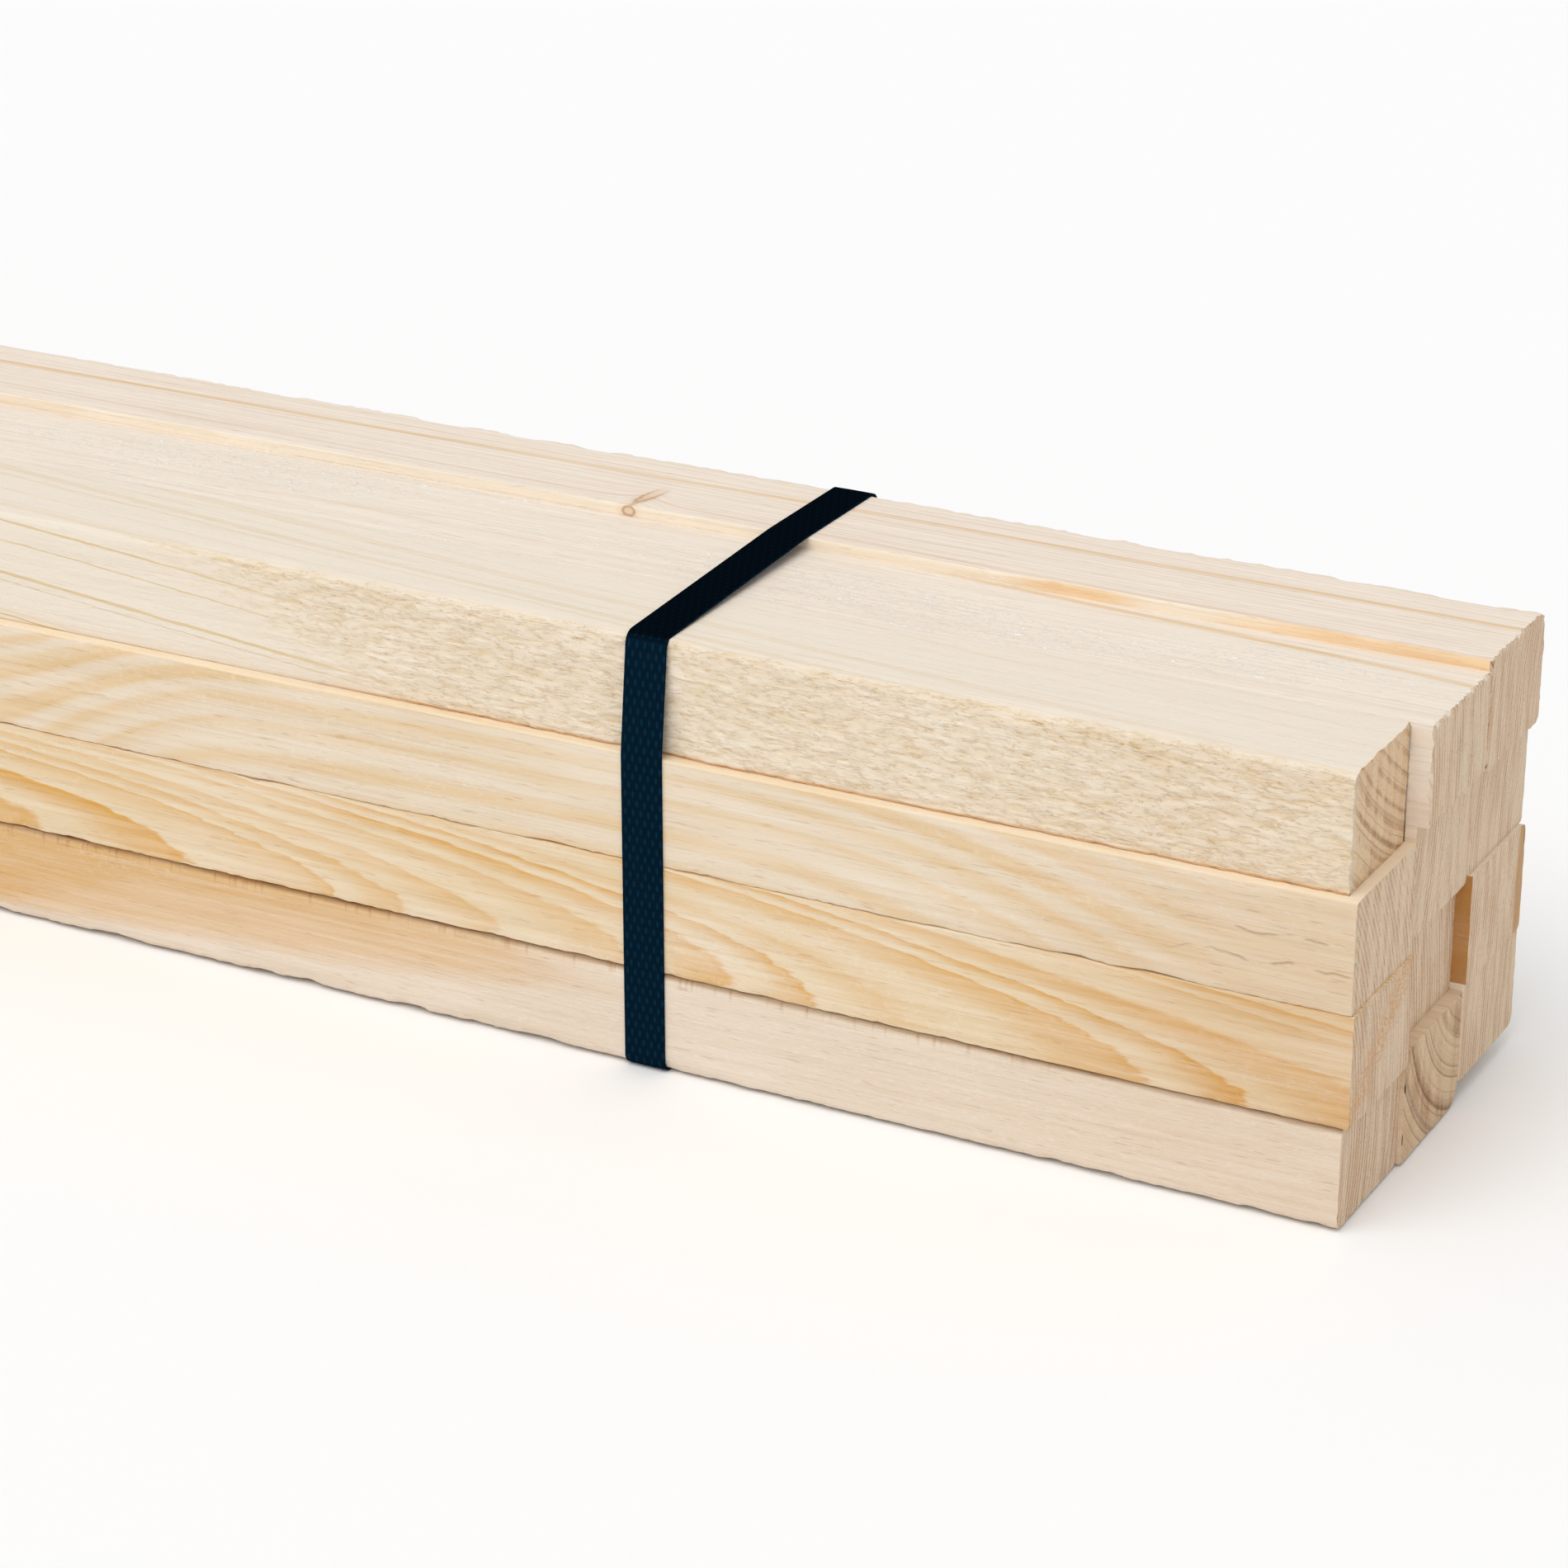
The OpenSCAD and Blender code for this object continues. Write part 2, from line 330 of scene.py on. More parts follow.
    # painted light and shade on the front: a tint of its own, warm in one spot and towards the near end;
    # paler as a painted highlight on the top back's step face, brown as painted shade on the lower back's
    # face in the recess
    warmSpot = band("warmSpot", absolute(minus(tree, x, form["warmSpot"])))
    warmth = calc(tree, "MAXIMUM", band("warmRun", x), warmSpot)
    warmth = times(tree, warmth, streaky("warmth"))
    frontLightShadeColour = mixColour(tree, warmth, given["frontLightShadeTint"], given["frontLightShadeWarm"])
    side = mixColour(tree, times(tree, frontMask, given["frontLightShadeAmount"]), side, frontLightShadeColour)

    # slow mottling, streaks, fibres and resin dashes
    marks = (("mottle", band("mottle", grain("mottle"))), ("darkStreak", band("darkStreak", streak)),
             ("lightStreak", band("lightStreak", streak)), ("fibre", fibre),
             ("dash", band("dash", grain("dash"))))
    for name, mask in marks:
        side = wash(side, name, times(tree, mask, given["streaks"]))

    # fronts darker and more tan towards the near end
    nearEndTan = times(tree, times(tree, band("nearEndTanRun", x), frontMask), streaky("nearEndTan"))

    # drying cracks that run in from the near end
    crackSway = times(tree, swing(grain("crackSway")), form["crackSway"])
    crackAt = plus(tree, minus(tree, z, given["crackZ"]), crackSway)
    lowerCrack = timesPlus(tree, crackSway, form["crackSpread"], plus(tree, crackAt, form["crackGap"]))
    crack = calc(tree, "MINIMUM", absolute(crackAt), absolute(lowerCrack))
    crack = times(tree, band("crack", crack), band("crackRun", x))
    crack = times(tree, crack, times(tree, frontMask, band("crackBreaks", ripple)))
    side = wash(side, "crack", crack)

    # pale fuzz in patches
    frosted = times(tree, band("frostGrain", grain("frostGrain")), band("frostPatch", grain("frostPatch")))
    frosted = times(tree, frosted, given["frost"])
    side = wash(side, "frost", frosted)

    # short upright saw ticks along an upper edge
    tickBand = smoothStep(tree, z, minus(tree, given["tickZ"], form["tickHeight"]), given["tickZ"])
    tickBand = times(tree, times(tree, tickBand, frontMask), band("tickRun", x))
    side = wash(side, "tickBand", tickBand)
    side = wash(side, "tick", times(tree, tickBand, band("tick", grain("tick"))))

    # painted shade in the seam above, in streaks
    seamShade = smoothStep(tree, z, minus(tree, given["seamShadeZ"], form["seamShadeHeight"]),
                      minus(tree, given["seamShadeZ"], form["seamShadeFull"]))
    side = wash(side, "seamShade", times(tree, seamShade, streaky("seamShade")))

    # painted light along one height: a thin glow line where light bounces into the seam under the top
    # front's torn face, and the upper front's ledge painted paler as a painted highlight; and a thin resin
    # line that slants over the top
    paintedLightRun = smoothStep(tree, x, given["paintedLightStart"], plus(tree, given["paintedLightStart"], form["paintedLightLeadIn"]))
    lineAndLightMask = times(tree, band("line", absolute(minus(tree, z, given["paintedLightZ"]))), paintedLightRun)
    slant = timesPlus(tree, minus(tree, x, form["slantPivot"]), given["lineSlope"], given["lineY"])
    slant = timesPlus(tree, bends, form["slantBend"], minus(tree, y, slant))
    slantMask = times(tree, band("slant", absolute(slant)), form["slantStrength"])
    lineAndLightMask = calc(tree, "MAXIMUM", lineAndLightMask, slantMask)
    lineAndLightMask = times(tree, lineAndLightMask, minus(tree, streaky("line"), endMask))

    # sawn ends: duller, with pale and dark fuzz, the marks of the blade and patches of sawdust
    fuzz, wide = grain("fuzz"), grain("wide")
    ringLine = times(tree, calc(tree, "DIVIDE", radius, given["endSpacing"]), 2 * math.pi)
    ringLine = times(tree, band("ringLine", calc(tree, "SINE", ringLine)), band("ringPatch", wide))
    end = mixColour(tree, times(tree, late, given["endRings"]), given["endEarly"], given["endLate"])
    end = wash(end, "ringLine", ringLine)
    end = wash(end, "wide", band("wide", wide))
    bladeMarks = timesPlus(tree, given["endRings"], form["bladeLoss"], form["bladeMarks"])
    end = wash(end, "blade", times(tree, band("blade", grain("blade")), bladeMarks))
    end = wash(end, "fuzz", band("fuzz", fuzz))
    end = wash(end, "specks", band("specks", grain("specks")))
    dustBand = timesPlus(tree, minus(tree, y, given["dustY"]), form["dustLean"],
                         minus(tree, z, given["dustZ"]))
    dustBand = plus(tree, absolute(dustBand), times(tree, wide, form["dustRag"]))
    dusty = times(tree, band("dustBand", dustBand), band("dustGrain", grain("dustGrain")))
    end = wash(end, "dust", times(tree, dusty, given["dust"]))
    waned = smoothStep(tree, timesPlus(tree, wide, form["waneRag"], y),
                       plus(tree, given["waneY"], form["waneStart"]),
                       plus(tree, given["waneY"], form["waneFull"]))
    end = wash(end, "wane", waned)
    colour = mixColour(tree, endMask, side, end)

    # torn grain: cream, with darker tan in the hollows as painted shade, and thin broken lines where fibres
    # were pulled out
    shreds = grain("shreds")
    tearLine = band("tearLine", absolute(swing(grain("tearLine"))))
    tearLine = times(tree, tearLine, band("tearBreaks", shreds))
    hollow = mixColour(tree, given["depth"], hexColour(form["ridge"]), hexColour(form["hollow"]))
    hollow = wash(hollow, "shreds", band("shreds", shreds))
    hollow = wash(hollow, "tearLine", tearLine)
    colour = mixColour(tree, times(tree, given["torn"], form["tornCover"]), colour, hollow)
    # painted glow and highlight along one height, with the resin lines over the top, laid on after the torn
    # grain
    colour = mixColour(tree, lineAndLightMask, colour, given["lineAndLightTint"])
    colour = wash(colour, "nearEndTan", times(tree, nearEndTan, given["tan"]))

    # knots: a dark rim round a paler core
    colour = wash(colour, "knotCore", given["knotCore"])
    colour = wash(colour, "knotRim", given["knotRim"])

    # relief in millimetres
    height = timesPlus(tree, late, form["lateRise"], times(tree, fibre, form["fibreSink"]))
    height = timesPlus(tree, grain("nap"), given["nap"], height)
    height = timesPlus(tree, frosted, form["frostRise"], height)
    tornHeight = timesPlus(tree, tearLine, form["tearSink"], times(tree, shreds, form["shredRise"]))
    height = timesPlus(tree, tornHeight, given["torn"], height)
    height = timesPlus(tree, crack, form["crackSink"], height)
    height = timesPlus(tree, times(tree, fuzz, form["fuzzRise"]), endMask, height)
    feed(tree, out["colour"], colour)
    feed(tree, out["roughness"], timesPlus(tree, fibre, form["fibreRoughness"], form["roughness"]))
    feed(tree, out["height"], height)


buildPineGroup(pineGroup, pineIn, pineOut, pineForm)

# A knot: a branch on a slanted axis that pushes the rings aside
knotGroup, knotIn, knotOut = newGroup(
    "knot",
    [("place", "vector"), ("centre", "vector"), ("axis", "vector"), ("size", "value"), ("swirl", "value")],
    [("push", "value"), ("core", "value"), ("rim", "value")])
knotForm = {"squash": (0.7, 1.0, 1.0), "wobbleWaves": (0.4, 0.4, 0.4), "wobbleDetail": 3.0, "wobble": 1.2,
            "length": (24.0, 10.0), "core": (2.4, 0.3),
            "rimAt": 0.95, "rimBand": (0.45, 0.05), "rimTone": 0.55}


def buildKnotGroup(tree, given, out, form):
    offset = vectorCalc(tree, "SUBTRACT", given["place"], given["centre"])
    along = vectorCalc(tree, "PROJECT", offset, given["axis"])
    across = vectorCalc(tree, "MULTIPLY", vectorCalc(tree, "SUBTRACT", offset, along), form["squash"])
    wobble = minus(tree, noiseAt(tree, given["place"], form["wobbleWaves"], form["wobbleDetail"]), 0.5)
    distance = timesPlus(tree, wobble, form["wobble"], vectorCalc(tree, "LENGTH", across))
    near = smoothStep(tree, vectorCalc(tree, "LENGTH", along), *form["length"])
    ratio = calc(tree, "DIVIDE", distance, given["size"])
    reach = calc(tree, "DIVIDE", distance, given["swirl"])
    fall = calc(tree, "EXPONENT", times(tree, times(tree, reach, reach), -0.5))
    feed(tree, out["push"], times(tree, near, times(tree, fall, given["swirl"])))
    feed(tree, out["core"], times(tree, near, smoothStep(tree, ratio, *form["core"])))
    edge = smoothStep(tree, calc(tree, "ABSOLUTE", minus(tree, ratio, form["rimAt"])), *form["rimBand"])
    feed(tree, out["rim"], times(tree, near, times(tree, edge, form["rimTone"])))


buildKnotGroup(knotGroup, knotIn, knotOut, knotForm)


def newMaterial(name):
    material = bpy.data.materials.new(name)
    material.use_nodes = True
    tree = material.node_tree
    tree.nodes.clear()
    coordinates = putNode(tree, "ShaderNodeTexCoord")
    place = vectorCalc(tree, "MULTIPLY", coordinates.outputs["Object"], (1 / mm, 1 / mm, 1 / mm))
    facing = putNode(tree, "ShaderNodeNewGeometry").outputs["True Normal"]
    return material, tree, place, facing


def finishSurface(tree, colour, roughness, height, specular):
    bump = putNode(tree, "ShaderNodeBump")
    bump.inputs["Strength"].default_value = 1.0
    bump.inputs["Distance"].default_value = mm
    feed(tree, bump.inputs["Height"], height)
    shader = putNode(tree, "ShaderNodeBsdfPrincipled")
    shader.inputs["Specular IOR Level"].default_value = specular
    feed(tree, shader.inputs["Base Color"], colour)
    feed(tree, shader.inputs["Roughness"], roughness)
    feed(tree, shader.inputs["Normal"], bump.outputs[0])
    output = putNode(tree, "ShaderNodeOutputMaterial")
    feed(tree, output.inputs["Surface"], shader.outputs[0])


pineGloss = 0.25


def pineMaterial(name, look, hasTears):
    material, tree, place, facing = newMaterial(name)
    values = {key: look[key] for key in pineNumbers}
    values.update({key: hexColour(look[key]) for key in pineTints})
    values["pithY"], values["pithZ"] = look["pith"]
    if "knot" in look:
        knot = placeGroup(tree, knotGroup, place=place, **look["knot"])
        values["knotPush"], values["knotCore"], values["knotRim"] = knot["push"], knot["core"], knot["rim"]
    if hasTears:
        for key in ("torn", "depth"):
            values[key] = putNode(tree, "ShaderNodeAttribute", attribute_name=key).outputs["Fac"]
    grain = placeGroup(tree, pineGroup, place=place, facing=facing, **values)
    finishSurface(tree, grain["colour"], grain["roughness"], grain["height"], pineGloss)
    return material


print("pine and knot node groups built")


# Sawn bars

barLook = {"endInset": 1.2, "thickEdge": 2.0, "thinSegments": 3, "thickSegments": 6, "leastCut": 12.0,
           "mostCuts": 100, "smoothAngle": 40.0}
touching = 1e-6  # metres


def pickEdges(piece, test):
    bpy.ops.mesh.select_all(action="DESELECT")
    work = bmesh.from_edit_mesh(piece.data)
    for edge in work.edges:
        if test(edge.verts[0].co, edge.verts[1].co):
            edge.select_set(True)
    bmesh.update_edit_mesh(piece.data)


def pickEnds(piece):
    bpy.ops.mesh.select_all(action="DESELECT")
    work = bmesh.from_edit_mesh(piece.data)
    for face in work.faces:
        if abs(face.normal.x) > 0.9:
            face.select_set(True)
    bmesh.update_edit_mesh(piece.data)


def runsAlong(a, b, axis):
    others = [i for i in range(3) if i != axis]
    return abs(a[axis] - b[axis]) > touching and all(abs(a[i] - b[i]) < touching for i in others)


def divideAlong(piece, start, stop, step):
    # an edge takes only so many cuts at a time, so long stretches are cut twice
    parts = max(1, round((stop - start) / step))
    first = math.ceil(parts / barLook["mostCuts"])
    for pieces in (first, round(parts / first)):
        if pieces < 2:
            continue
        pickEdges(piece, lambda a, b: runsAlong(a, b, 0)
                  and min(a.x, b.x) > start - touching and max(a.x, b.x) < stop + touching)
        bpy.ops.mesh.subdivide(number_cuts=pieces - 1)


def sawnBar(name, low, high, look):
    bpy.ops.object.select_all(action="DESELECT")
    bpy.ops.mesh.primitive_cube_add(size=1.0, location=(low + high) / 2)
    bar = bpy.context.active_object
    bar.name = name
    bar.scale = high - low
    bpy.ops.object.transform_apply(location=True, rotation=False, scale=True)
    bpy.ops.object.mode_set(mode="EDIT")
    bpy.ops.mesh.select_mode(type="EDGE")
    corners = [(low.y, low.z), (high.y, low.z), (high.y, high.z), (low.y, high.z)]
    for (cornerY, cornerZ), radius in zip(corners, look["edges"]):
        pickEdges(bar, lambda a, b: runsAlong(a, b, 0)
                  and abs(a.y - cornerY) < touching and abs(a.z - cornerZ) < touching)
        segments = barLook["thinSegments" if radius < barLook["thickEdge"] else "thickSegments"]
        bpy.ops.mesh.bevel(offset=radius * mm, segments=segments, affect="EDGES")
    for axis, cell in ((1, look["cellY"]), (2, look["cellZ"])):
        cuts = max(1, round((high[axis] - low[axis]) / (cell * mm))) - 1
        pickEdges(bar, lambda a, b: runsAlong(a, b, axis)
                  and abs(a[axis] - b[axis]) > barLook["leastCut"] * mm)
        bpy.ops.mesh.subdivide(number_cuts=cuts)
    bpy.ops.mesh.select_mode(type="FACE")
    pickEnds(bar)
    bpy.ops.mesh.inset(thickness=barLook["endInset"] * mm, use_individual=False)
    bpy.ops.mesh.select_mode(type="EDGE")
    stops = [low.x, *[x * mm for x in look["zones"]], high.x]
    for x in stops[1:-1]:
        bpy.ops.mesh.select_all(action="SELECT")
        bpy.ops.mesh.bisect(plane_co=(x, 0.0, 0.0), plane_no=(1.0, 0.0, 0.0))
    for start, stop, step in zip(stops, stops[1:], look["steps"]):
        divideAlong(bar, start, stop, step * mm)
    bpy.ops.object.mode_set(mode="OBJECT")
    return bar


wearLook = {"seedStride": 7.31, "roundShare": 0.59, "reach": 3.2, "least": 0.10,
            "dentLength": 17, "dentWidth": 9, "dentStart": 0.12, "dentDepth": 1.5,
            "fuzzLength": 2.7, "fuzzWidth": 4, "fuzzDepth": 0.30,
            "sawCell": 2.4, "sawFace": 0.05, "sawRim": 0.9}


def wearBar(bar, low, high, look, form):
    # chips and fuzz along the long edges, and ragged saw cuts at the ends; only wood is lost
    seed = look["seed"] * form["seedStride"]
    for vert in bar.data.vertices:
        x, y, z = vert.co / mm
        gaps, inward = [], []
        for axis in range(3):
            fromLow, fromHigh = vert.co[axis] - low[axis], high[axis] - vert.co[axis]
            gaps.append(min(fromLow, fromHigh) / mm)
            inward.append(1 if fromLow < fromHigh else -1)
        gapX, gapY, gapZ = gaps
        edge = (0 if inward[1] > 0 else 1) if inward[2] > 0 else (3 if inward[1] > 0 else 2)
        rounded = form["roundShare"] * look["edges"][edge]
        near = 1.0 - max(0.0, gapY + gapZ - rounded) / form["reach"]
        if near > 0:
            width = form["dentWidth"]
            dent = noise.noise(Vector((x / form["dentLength"], y / width + seed, z / width)))
            dent = max(0.0, dent - form["dentStart"]) * form["dentDepth"]
            width = form["fuzzWidth"]
            fuzz = noise.noise(Vector((x / form["fuzzLength"], y / width + seed, z / width)))
            loss = max(0.0, form["least"] + dent + fuzz * form["fuzzDepth"])
            loss = near * loss * look["wear"][edge]
            vert.co.y += inward[1] * loss * mm
            vert.co.z += inward[2] * loss * mm
        if gapX < form["sawFace"] and min(gapY, gapZ) < form["sawRim"]:
            saw = abs(noise.noise(Vector((seed + inward[0], y / form["sawCell"], z / form["sawCell"]))))
            vert.co.x += inward[0] * saw * look["sawRag"] * mm


seamClose = 0.1  # studs pulled tight meet half way across the gap


def finishStud(look):
    node = look["node"]
    low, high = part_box(node)
    row, column, _ = node.split("_")
    low.y -= 0.0 if column == "front" else seamClose * mm
    high.y += 0.0 if column == "back" else seamClose * mm
    low.z -= 0.0 if row == "bottom" else seamClose * mm
    high.z += 0.0 if row == "top" else seamClose * mm
    bar = sawnBar(row + column.capitalize() + "Stud", low, high, look)
    hasTears = "tears" in look
    if hasTears:
        tearFront(bar, low, high, look["tears"], tearForm)
    wearBar(bar, low, high, look, wearLook)
    if hasTears:
        addFibres(bar, look["fibres"])
    bpy.ops.object.select_all(action="DESELECT")
    bar.select_set(True)
    bpy.context.view_layer.objects.active = bar
    bpy.ops.object.shade_smooth_by_angle(angle=math.radians(barLook["smoothAngle"]))
    bar.data.materials.clear()
    bar.data.materials.append(pineMaterial(node + "Pine", look, hasTears))
    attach(bar, "root")
    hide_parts(node)
    print(node, "made:", len(bar.data.polygons), "faces")


# Torn grain on the top front stud

def ease(value):
    value = max(0.0, min(1.0, value))
    return value * value * (3 - 2 * value)


tearWaves = {  # length, height and a seed
    "start": (30, 6, 0.4), "sway": (30, 7, 3.1), "bend": (13, 4, 1.9), "fine": (3.0, 0.95, 5.5),
    "slow": (40, 12, 12.3)}
tearForm = {"swayX": 6, "scaleSeed": 8.7, "lipPitch": 2.6, "lipBend": 1.6, "lipLean": 60, "lipPower": 4,
            "lipLevel": 0.2, "level": 0.42, "scale": 0.36, "lip": 0.34, "fine": 0.16, "slow": 0.14,
            "startRag": 16, "skin": 3.0, "strapHalf": 9, "strapEdge": 0.9, "topLength": 11,
            "topSeed": (2.2, 6.0), "topLevel": 0.15}


def tearNoise(name, x, z):
    length, height, seed = tearWaves[name]
    return noise.noise(Vector((x / length, z / height, seed)))


def tearDepth(x, z, tears, form):
    # 0 on a ridge, 1 in a hollow: overlapping torn scales with finer fibres on them
    sway = tearNoise("sway", x, z)
    scale = noise.noise(Vector(((x + form["swayX"] * sway) / tears["scaleLength"],
                                (z + sway) / tears["scaleHeight"], form["scaleSeed"])))
    lip = (z / form["lipPitch"] + tearNoise("bend", x, z) * form["lipBend"] + x / form["lipLean"]) % 1.0
    lip = lip ** form["lipPower"] - form["lipLevel"]
    fine, slow = tearNoise("fine", x, z), tearNoise("slow", x, z)
    return (form["level"] - form["scale"] * scale + form["lip"] * lip
            - form["fine"] * fine - form["slow"] * slow)


def tearFront(bar, low, high, tears, form):
    torn = bar.data.attributes.new("torn", "FLOAT", "POINT")
    depth = bar.data.attributes.new("depth", "FLOAT", "POINT")
    skin = form["skin"]
    for vert in bar.data.vertices:
        x, z = vert.co.x / mm, vert.co.z / mm
        fromTop = high.z / mm - z
        start = tears["start"] + fromTop * tears["slant"] + form["startRag"] * tearNoise("start", x, z)
        mask = ease((x - start) / tears["fade"])
        frontness = ease(1 - (vert.co.y - low.y) / mm / skin)
        if mask <= 0 or frontness <= 0:
            continue
        hollow = tearDepth(x, z, tears, form)
        torn.data[vert.index].value = mask * frontness
        depth.data[vert.index].value = max(0.0, min(1.0, hollow))
        pressed = ease(abs(x - tears["strapX"]) / form["strapHalf"] - form["strapEdge"])
        push = hollow * tears["depth"] - tears["proud"] * pressed
        vert.co.y += mask * frontness * push * mm
        if fromTop < skin:
            ragged = noise.noise(Vector((x / form["topLength"], *form["topSeed"]))) + form["topLevel"]
            ragged = max(0.0, ragged) * tears["ragged"]
            vert.co.z -= mask * ragged * ease(1 - fromTop / skin) * mm


def addFibres(bar, fibres):
    # loose fibres: thin three-sided slivers that lift off at one end, joined to the bar
    pick = random.Random(fibres["seed"])
    points, faces = [], []
    for _ in range(fibres["count"]):
        x = pick.uniform(*fibres["spanX"])
        z = pick.choice(fibres["rows"]) + pick.gauss(0, fibres["scatter"])
        length = pick.uniform(*fibres["length"])
        lift = pick.uniform(*fibres["lift"])
        lean = pick.gauss(0, fibres["lean"])
        width = pick.uniform(*fibres["width"])
        way = pick.choice((-1, 1))
        clear = fibres["strapClear"] + (length if way * (fibres["strapX"] - x) > 0 else 0)
        if abs(x - fibres["strapX"]) < clear or z + lean * length > fibres["topZ"]:
            continue
        first = len(points)
        steps = fibres["steps"]
        for i in range(steps + 1):
            t = i / steps
            thin = width * (1 - fibres["taper"] * t)
            centre = Vector((x + way * length * t, fibres["y"] - lift * t * t + fibres["sunk"] * (1 - t),
                             z + lean * length * t * (0.4 + 0.6 * t)))  # bends more towards the tip
            for k in range(3):
                angle = 2 * math.pi * k / 3
                spot = centre + Vector((0, thin * math.cos(angle), thin * math.sin(angle)))
                points.append(spot * mm)
            if i:
                for k in range(3):
                    a, b = first + 3 * (i - 1) + k, first + 3 * (i - 1) + (k + 1) % 3
                    faces.append((a, b, b + 3, a + 3) if way > 0 else (a, a + 3, b + 3, b))
        root = (first, first + 2, first + 1)
        tip = (first + 3 * steps, first + 3 * steps + 1, first + 3 * steps + 2)
        faces += [root, tip] if way > 0 else [root[::-1], tip[::-1]]
    mesh = bpy.data.meshes.new("fibres")
    mesh.from_pydata(points, [], faces)
    loose = bpy.data.objects.new("fibres", mesh)
    bpy.context.collection.objects.link(loose)
    bpy.ops.object.select_all(action="DESELECT")
    loose.select_set(True)
    bar.select_set(True)
    bpy.context.view_layer.objects.active = bar
    bpy.ops.object.join()


# Studs. Places in millimetres in the bundle's frame; edges are the radii of the
# lower front, lower back, upper back and upper front edges.

plainStud = {
    # how the pith lies and wanders, and where it jumps sideways
    "seed": 1.0, "pith": (-150.0, 60.0), "wave": 6.0, "waveLength": 1500.0, "waveStart": 200.0, "rise": 0.0,
    "leftJump": 0.0, "leftAt": 0.0, "leftWidth": 50.0, "rightJump": 0.0, "rightAt": 0.0, "rightWidth": 50.0,
    # rings and their colours
    "spacing": 2.0, "warp": 3.0, "feather": 0.8, "uneven": 2.0, "lateStart": 0.45, "rim": 0.4, "crisp": 0.94,
    "toneFloor": 0.3, "contrast": 0.6, "fadeStart": 3000.0, "fadeStop": 4000.0, "topFade": 0.0,
    "early": "efe0cb", "late": "dfb98a",
    "heart": "e3bd8c", "heartRadius": 0.0, "heartBlur": 1.6, "heartAmount": 0.0,
    # painted light and shade on the front, off here
    "frontLightShadeTint": "f6e4c6", "frontLightShadeWarm": "f3d5a6", "frontLightShadeAmount": 0.0,
    # marks on the long faces; those placed 500 mm away are off the stud
    "streaks": 1.0, "frost": 0.15, "tan": 0.0, "nap": 0.14, "crackZ": -500.0, "tickZ": 500.0, "seamShadeZ": 500.0,
    # painted glow and highlight along one height, and resin lines over the top, both off the stud here
    "lineAndLightTint": "d99d58", "paintedLightZ": 500.0, "paintedLightStart": -3000.0, "lineY": -500.0, "lineSlope": 0.0,
    # sawn ends
    "endEarly": "efd6b8", "endLate": "b98f6a", "endRings": 0.25, "endSpacing": 2.3,
    "dust": 0.0, "dustY": 0.0, "dustZ": 0.0, "waneY": 500.0,
    # edges, and how fine the mesh is
    "edges": (0.15, 0.15, 0.15, 0.15), "wear": (0.12, 0.12, 0.12, 0.12), "sawRag": 0.35,
    "cellY": 3.0, "cellZ": 3.0, "zones": (620.0,), "steps": (24.0, 6.0),
}
shown = {"steps": (12.0, 2.4), "cellY": 1.5}  # finer on the studs that show

topFront = {
    **plainStud, "node": "top_front_stud", "seed": 1.3, "pith": (30.0, 312.0), "wave": 3.0, "rise": -0.07,
    "spacing": 6.6, "lateStart": 0.84, "rim": 0.0, "toneFloor": 0.6, "contrast": 1.0, "topFade": 0.75,
    "early": "f0e4d3", "late": "d9b878", "streaks": 0.4, "tan": 0.15, "nap": 0.3,
    # a thin glow line painted where light bounces into the seam under the torn face
    "paintedLightZ": 113.7, "paintedLightStart": 790.0,
    "endEarly": "f3d4ac", "endLate": "b58a5c", "endRings": 0.55, "endSpacing": 5.6,
    "edges": (0.4, 0.15, 0.15, 2.2), "wear": (0.2, 0.12, 0.12, 1.2), "sawRag": 1.6,
    "cellZ": 0.8, "zones": (620.0, 765.0), "steps": (12.0, 4.0, 1.15),
    "tears": {"start": 728.0, "slant": 2.0, "fade": 75.0, "depth": 1.3, "proud": 0.6, "ragged": 1.2,
              "scaleLength": 8.5, "scaleHeight": 1.8, "strapX": 952.2},
    "fibres": {"seed": 11, "count": 420, "spanX": (820.0, 1192.0),
               "rows": (150.0, 148.0, 141.0, 133.0, 124.0, 117.0), "scatter": 2.2, "length": (3.0, 9.0),
               "lift": (0.4, 1.5), "lean": 0.25, "width": (0.12, 0.26), "taper": 0.92, "steps": 4,
               "y": -73.4, "sunk": 0.5, "strapX": 952.2, "strapClear": 9.5, "topZ": 152.5},
}
finishStud(topFront)

upperFront = {
    **plainStud, **shown, "node": "upper_front_stud", "seed": 2.1, "pith": (-147.0, 32.0), "wave": 5.0,
    "waveLength": 640.0, "waveStart": 760.0, "leftJump": 22.0, "leftAt": 735.0, "leftWidth": 60.0,
    "rightJump": 26.0, "rightAt": 1110.0, "rightWidth": 120.0, "fadeStart": 1090.0, "fadeStop": 1180.0,
    "spacing": 6.8, "warp": 1.5, "feather": 1.0, "uneven": 0.8, "toneFloor": 0.7, "lateStart": 0.10,
    "rim": 0.0, "crisp": 0.50, "contrast": 1.0, "early": "e9d8bf", "late": "e2b976", "tan": 0.28,
    # the ledge on top is painted paler: a painted highlight
    "nap": 0.2, "crackZ": 97.0, "paintedLightZ": 113.3, "lineAndLightTint": "f5e2c4",
    "cellZ": 2.2, "edges": (0.6, 0.15, 0.15, 0.8), "wear": (0.7, 0.12, 0.12, 0.8),
}
finishStud(upperFront)

